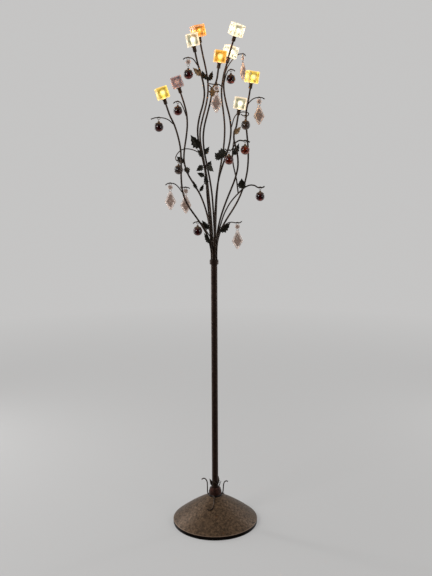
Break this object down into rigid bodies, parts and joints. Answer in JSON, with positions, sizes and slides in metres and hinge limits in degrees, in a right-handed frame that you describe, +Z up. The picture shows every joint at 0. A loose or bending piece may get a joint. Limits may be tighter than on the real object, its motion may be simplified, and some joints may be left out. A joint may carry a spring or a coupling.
{
  "type": "tree floor lamp",
  "caption": "Tree-shaped floor lamp: weighted cone base, slim pole, bent branch tubes with leaves, lit glass cubes on bulb holders and hanging glass drops and balls.",
  "frame": {"origin": "middle of the base's underside, on the floor", "axes": "+Z up along the pole; -Y towards the viewer of the picture; +X to the viewer's right"},
  "size_m": [0.3729, 0.3015, 1.7239],
  "materials": {
    "felt": "felt pad",
    "weight_iron": "bare casting",
    "hammered_bronze": "hammered dark bronze, satin",
    "black_plastic": "moulded",
    "plain_steel": "zinc plated",
    "russet_bronze": "rubbed reddish bronze, satin",
    "leaf_bronze": "brushed olive bronze, satin",
    "dark_bronze": "dark bronze, satin",
    "lit_bulb_glass": "lit capsule",
    "cable_jacket": "smooth jacket",
    "amber_cube_glass": "polished amber glass, lit",
    "clear_cube_glass": "polished clear glass, lit",
    "unlit_cube_glass": "polished clear glass",
    "smoky_drop_glass": "faceted smoky glass",
    "garnet_ball_glass": "polished dark red glass"
  },
  "bodies": {
    "lamp": {"base_pad": "felt", "base_shell": "hammered_bronze", "base_weight": "weight_iron", "branch_1": "dark_bronze", "branch_2": "dark_bronze", "branch_3": "dark_bronze", "branch_4": "dark_bronze", "branch_5": "dark_bronze", "branch_6": "dark_bronze", "branch_7": "dark_bronze", "branch_8": "dark_bronze", "branch_9": "dark_bronze", "bulbs": "lit_bulb_glass", "cable_gland": "black_plastic", "crown_block": "dark_bronze", "foot_ferrule": "russet_bronze", "lamp_holder_1": "dark_bronze", "lamp_holder_2": "dark_bronze", "lamp_holder_3": "dark_bronze", "lamp_holder_4": "dark_bronze", "lamp_holder_5": "dark_bronze", "lamp_holder_6": "dark_bronze", "lamp_holder_7": "dark_bronze", "lamp_holder_8": "dark_bronze", "lamp_holder_9": "dark_bronze", "leaves": "leaf_bronze", "pole": "dark_bronze", "pole_collar": "dark_bronze", "root_tendrils": "dark_bronze", "stem_nipple": "plain_steel", "stem_nuts": "plain_steel", "terminal_block": "black_plastic", "transformer": "black_plastic", "twigs": "dark_bronze", "wiring": "cable_jacket"},
    "glass_cube_1": {"glass_cube_1": "amber_cube_glass"},
    "glass_cube_2": {"glass_cube_2": "clear_cube_glass"},
    "glass_cube_3": {"glass_cube_3": "clear_cube_glass"},
    "glass_cube_4": {"glass_cube_4": "amber_cube_glass"},
    "glass_cube_5": {"glass_cube_5": "clear_cube_glass"},
    "glass_cube_6": {"glass_cube_6": "amber_cube_glass"},
    "glass_cube_7": {"glass_cube_7": "clear_cube_glass"},
    "glass_cube_8": {"glass_cube_8": "amber_cube_glass"},
    "glass_cube_9": {"glass_cube_9": "unlit_cube_glass"},
    "ball_pendant_1": {"ball_pendant_1": "garnet_ball_glass"},
    "ball_pendant_2": {"ball_pendant_2": "garnet_ball_glass"},
    "ball_pendant_3": {"ball_pendant_3": "garnet_ball_glass"},
    "ball_pendant_4": {"ball_pendant_4": "garnet_ball_glass"},
    "ball_pendant_5": {"ball_pendant_5": "garnet_ball_glass"},
    "ball_pendant_6": {"ball_pendant_6": "garnet_ball_glass"},
    "ball_pendant_7": {"ball_pendant_7": "garnet_ball_glass"},
    "ball_pendant_8": {"ball_pendant_8": "garnet_ball_glass"},
    "ball_pendant_9": {"ball_pendant_9": "garnet_ball_glass"},
    "ball_pendant_10": {"ball_pendant_10": "garnet_ball_glass"},
    "drop_pendant_1": {"drop_pendant_1": "smoky_drop_glass"},
    "drop_pendant_2": {"drop_pendant_2": "smoky_drop_glass"},
    "drop_pendant_3": {"drop_pendant_3": "smoky_drop_glass"},
    "drop_pendant_4": {"drop_pendant_4": "smoky_drop_glass"},
    "drop_pendant_5": {"drop_pendant_5": "smoky_drop_glass"},
    "drop_pendant_6": {"drop_pendant_6": "smoky_drop_glass"}
  },
  "joints": [
    {"name": "glass_cube_1_lift", "type": "slide", "parent": "lamp", "child": "glass_cube_1", "axis": [-0.1908, 0, 0.9816], "range_m": [0, 0.04]},
    {"name": "glass_cube_2_lift", "type": "slide", "parent": "lamp", "child": "glass_cube_2", "axis": [-0.2079, 0, 0.9781], "range_m": [0, 0.04]},
    {"name": "glass_cube_3_lift", "type": "slide", "parent": "lamp", "child": "glass_cube_3", "axis": [0.2971, -0.2004, 0.9336], "range_m": [0, 0.04]},
    {"name": "glass_cube_4_lift", "type": "slide", "parent": "lamp", "child": "glass_cube_4", "axis": [0.1392, 0, 0.9903], "range_m": [0, 0.04]},
    {"name": "glass_cube_5_lift", "type": "slide", "parent": "lamp", "child": "glass_cube_5", "axis": [0.2904, 0.1057, 0.9511], "range_m": [0, 0.04]},
    {"name": "glass_cube_6_lift", "type": "slide", "parent": "lamp", "child": "glass_cube_6", "axis": [0.1564, 0, 0.9877], "range_m": [0, 0.04]},
    {"name": "glass_cube_7_lift", "type": "slide", "parent": "lamp", "child": "glass_cube_7", "axis": [0.1564, 0, 0.9877], "range_m": [0, 0.04]},
    {"name": "glass_cube_8_lift", "type": "slide", "parent": "lamp", "child": "glass_cube_8", "axis": [-0.309, 0, 0.9511], "range_m": [0, 0.04]},
    {"name": "glass_cube_9_lift", "type": "slide", "parent": "lamp", "child": "glass_cube_9", "axis": [-0.309, 0, 0.9511], "range_m": [0, 0.04]},
    {"name": "ball_pendant_1_swing", "type": "hinge", "parent": "lamp", "child": "ball_pendant_1", "pos_m": [-0.1775, -0.022, 1.423], "axis": [-1, 0, 0], "range_deg": [-40, 40]},
    {"name": "ball_pendant_2_swing", "type": "hinge", "parent": "lamp", "child": "ball_pendant_2", "pos_m": [-0.1185, 0.057, 1.475], "axis": [-1, 0, 0], "range_deg": [-40, 40]},
    {"name": "ball_pendant_3_swing", "type": "hinge", "parent": "lamp", "child": "ball_pendant_3", "pos_m": [-0.078, -0.082, 1.607], "axis": [-1, 0, 0], "range_deg": [-40, 40]},
    {"name": "ball_pendant_4_swing", "type": "hinge", "parent": "lamp", "child": "ball_pendant_4", "pos_m": [0.0575, 0.014, 1.575], "axis": [1, 0, 0], "range_deg": [-40, 40]},
    {"name": "ball_pendant_5_swing", "type": "hinge", "parent": "lamp", "child": "ball_pendant_5", "pos_m": [0.103, -0.029, 1.3486], "axis": [1, 0, 0], "range_deg": [-40, 40]},
    {"name": "ball_pendant_6_swing", "type": "hinge", "parent": "lamp", "child": "ball_pendant_6", "pos_m": [0.0495, -0.091, 1.32], "axis": [-1, 0, 0], "range_deg": [-40, 40]},
    {"name": "ball_pendant_7_swing", "type": "hinge", "parent": "lamp", "child": "ball_pendant_7", "pos_m": [0.1535, -0.016, 1.1956], "axis": [1, 0, 0], "range_deg": [-40, 40]},
    {"name": "ball_pendant_8_swing", "type": "hinge", "parent": "lamp", "child": "ball_pendant_8", "pos_m": [-0.0535, -0.043, 1.085], "axis": [-1, 0, 0], "range_deg": [-30, 40]},
    {"name": "ball_pendant_9_swing", "type": "hinge", "parent": "lamp", "child": "ball_pendant_9", "pos_m": [0.105, -0.015, 1.428], "axis": [-1, 0, 0], "range_deg": [-35, 40]},
    {"name": "ball_pendant_10_swing", "type": "hinge", "parent": "lamp", "child": "ball_pendant_10", "pos_m": [-0.1175, 0.038, 1.281], "axis": [1, 0, 0], "range_deg": [-40, 20]},
    {"name": "drop_pendant_1_swing", "type": "hinge", "parent": "lamp", "child": "drop_pendant_1", "pos_m": [-0.1425, -0.038, 1.212], "axis": [-1, 0, 0], "range_deg": [-40, 40]},
    {"name": "drop_pendant_2_swing", "type": "hinge", "parent": "lamp", "child": "drop_pendant_2", "pos_m": [-0.094, 0.015, 1.194], "axis": [1, 0, 0], "range_deg": [-30, 40]},
    {"name": "drop_pendant_3_swing", "type": "hinge", "parent": "lamp", "child": "drop_pendant_3", "pos_m": [0.0775, -0.054, 1.083], "axis": [1, 0, 0], "range_deg": [-40, 40]},
    {"name": "drop_pendant_4_swing", "type": "hinge", "parent": "lamp", "child": "drop_pendant_4", "pos_m": [0.0095, -0.097, 1.525], "axis": [1, 0, 0], "range_deg": [-35, 35]},
    {"name": "drop_pendant_5_swing", "type": "hinge", "parent": "lamp", "child": "drop_pendant_5", "pos_m": [0.15, 0.016, 1.486], "axis": [1, 0, 0], "range_deg": [-40, 40]},
    {"name": "drop_pendant_6_swing", "type": "hinge", "parent": "lamp", "child": "drop_pendant_6", "pos_m": [0.1005, 0.128, 1.632], "axis": [0.5665, 0.824, 0], "range_deg": [-40, 40]}
  ]
}
